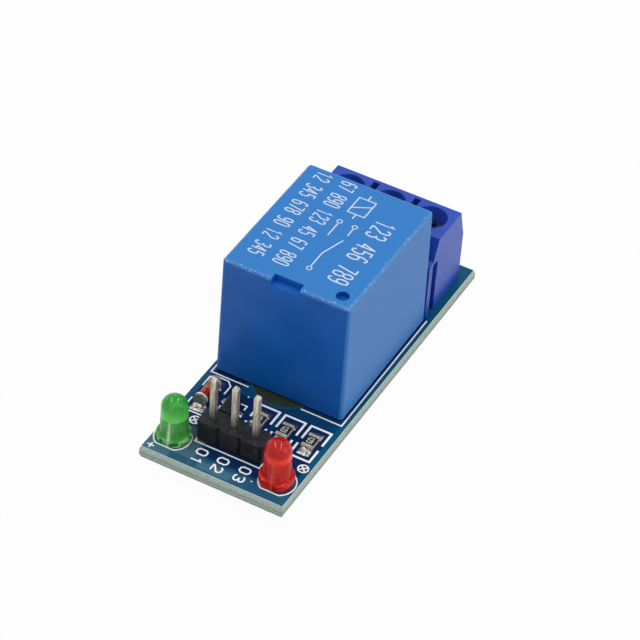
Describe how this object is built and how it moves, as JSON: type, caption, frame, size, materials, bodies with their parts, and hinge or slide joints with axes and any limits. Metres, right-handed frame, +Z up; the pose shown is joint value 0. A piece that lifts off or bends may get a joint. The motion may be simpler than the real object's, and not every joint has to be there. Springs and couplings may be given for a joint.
{
  "type": "relay module board",
  "caption": "Relay module board: a sealed relay between a screw terminal and a pin header, with indicator lamps and chip parts, on a snapped laminate standing on its lead tips.",
  "frame": {"origin": "under the middle of the board, on the plane of the lead tips it stands on", "axes": "+X across the board to the red lamp's side, +Y from the pin header to the screw terminal, +Z up out of the component side"},
  "size_m": [0.017, 0.0436, 0.0187],
  "materials": {
    "solder_mask": "glossy lacquer on fibreglass laminate",
    "black_moulding": "satin",
    "relay_blue": "satin",
    "relay_base": "matte",
    "sealing_compound": "satin",
    "copper": "enamelled",
    "former_white": "matte",
    "iron": "plated",
    "leaf_copper": "satin",
    "contact_silver": "satin",
    "terminal_blue": "satin",
    "green_lens": "tinted, diffused",
    "red_lens": "tinted, diffused",
    "diode_glass": "clear red",
    "diode_ends": "satin",
    "silicon": "polished",
    "solder": "bright",
    "chip_ceramic": "satin",
    "screw_steel": "plated",
    "plated_steel": "plated",
    "tinned_metal": "tinned"
  },
  "bodies": {
    "module": {"circuit_board": "solder_mask", "diode_chip": "silicon", "diode_ends": "diode_ends", "diode_glass": "diode_glass", "green_lamp_anode": "tinned_metal", "green_lamp_cathode": "tinned_metal", "green_lamp_chip": "silicon", "green_lamp_lens": "green_lens", "header_body": "black_moulding", "header_pin_1": "tinned_metal", "header_pin_2": "tinned_metal", "header_pin_3": "tinned_metal", "red_lamp_anode": "tinned_metal", "red_lamp_cathode": "tinned_metal", "red_lamp_chip": "silicon", "red_lamp_lens": "red_lens", "relay_base": "relay_base", "relay_coil_pins": "tinned_metal", "relay_common_pin": "tinned_metal", "relay_compound": "sealing_compound", "relay_core": "iron", "relay_cover": "relay_blue", "relay_fixed_contacts": "contact_silver", "relay_former": "former_white", "relay_lower_strip": "leaf_copper", "relay_upper_strip": "leaf_copper", "relay_winding": "copper", "relay_yoke": "iron", "resistor_1_body": "chip_ceramic", "resistor_1_ends": "tinned_metal", "resistor_2_body": "chip_ceramic", "resistor_2_ends": "tinned_metal", "resistor_3_body": "chip_ceramic", "resistor_3_ends": "tinned_metal", "solder_diode": "solder", "solder_header": "solder", "solder_lamps": "solder", "solder_relay": "solder", "solder_resistors": "solder", "solder_terminal": "solder", "solder_transistor": "solder", "terminal_cage_1": "plated_steel", "terminal_cage_2": "plated_steel", "terminal_cage_3": "plated_steel", "terminal_housing": "terminal_blue", "transistor_body": "black_moulding", "transistor_leads": "tinned_metal"},
    "armature": {"relay_armature": "iron", "relay_leaf": "leaf_copper", "relay_moving_contact": "contact_silver"},
    "clamp_1": {"terminal_clamp_1": "plated_steel"},
    "screw_1": {"terminal_screw_1": "screw_steel"},
    "clamp_2": {"terminal_clamp_2": "plated_steel"},
    "screw_2": {"terminal_screw_2": "screw_steel"},
    "clamp_3": {"terminal_clamp_3": "plated_steel"},
    "screw_3": {"terminal_screw_3": "screw_steel"}
  },
  "joints": [
    {"name": "armature_pull", "type": "hinge", "parent": "module", "child": "armature", "pos_m": [-0.00005, -0.00501, 0.01401], "axis": [-1, 0, 0], "range_deg": [0, 3.4], "stiffness_Nm_per_rad": 0.02, "springref_deg": -5.73},
    {"name": "clamp_lift_1", "type": "slide", "parent": "module", "child": "clamp_1", "axis": [0, 0, 1], "range_m": [0, 0.0018]},
    {"name": "screw_turn_1", "type": "hinge", "parent": "clamp_1", "child": "screw_1", "pos_m": [-0.00524, 0.01616, 0.0111], "axis": [0, 0, 1], "range_deg": [0, 1440]},
    {"name": "clamp_lift_2", "type": "slide", "parent": "module", "child": "clamp_2", "axis": [0, 0, 1], "range_m": [0, 0.0018]},
    {"name": "screw_turn_2", "type": "hinge", "parent": "clamp_2", "child": "screw_2", "pos_m": [-0.00015, 0.01616, 0.0111], "axis": [0, 0, 1], "range_deg": [0, 1440]},
    {"name": "clamp_lift_3", "type": "slide", "parent": "module", "child": "clamp_3", "axis": [0, 0, 1], "range_m": [0, 0.0018]},
    {"name": "screw_turn_3", "type": "hinge", "parent": "clamp_3", "child": "screw_3", "pos_m": [0.00492, 0.01616, 0.0111], "axis": [0, 0, 1], "range_deg": [0, 1440]}
  ],
  "couplings": [
    {"joint": "screw_turn_1", "follows": "clamp_lift_1", "rad_per_m": 13963},
    {"joint": "screw_turn_2", "follows": "clamp_lift_2", "rad_per_m": 13963},
    {"joint": "screw_turn_3", "follows": "clamp_lift_3", "rad_per_m": 13963}
  ]
}
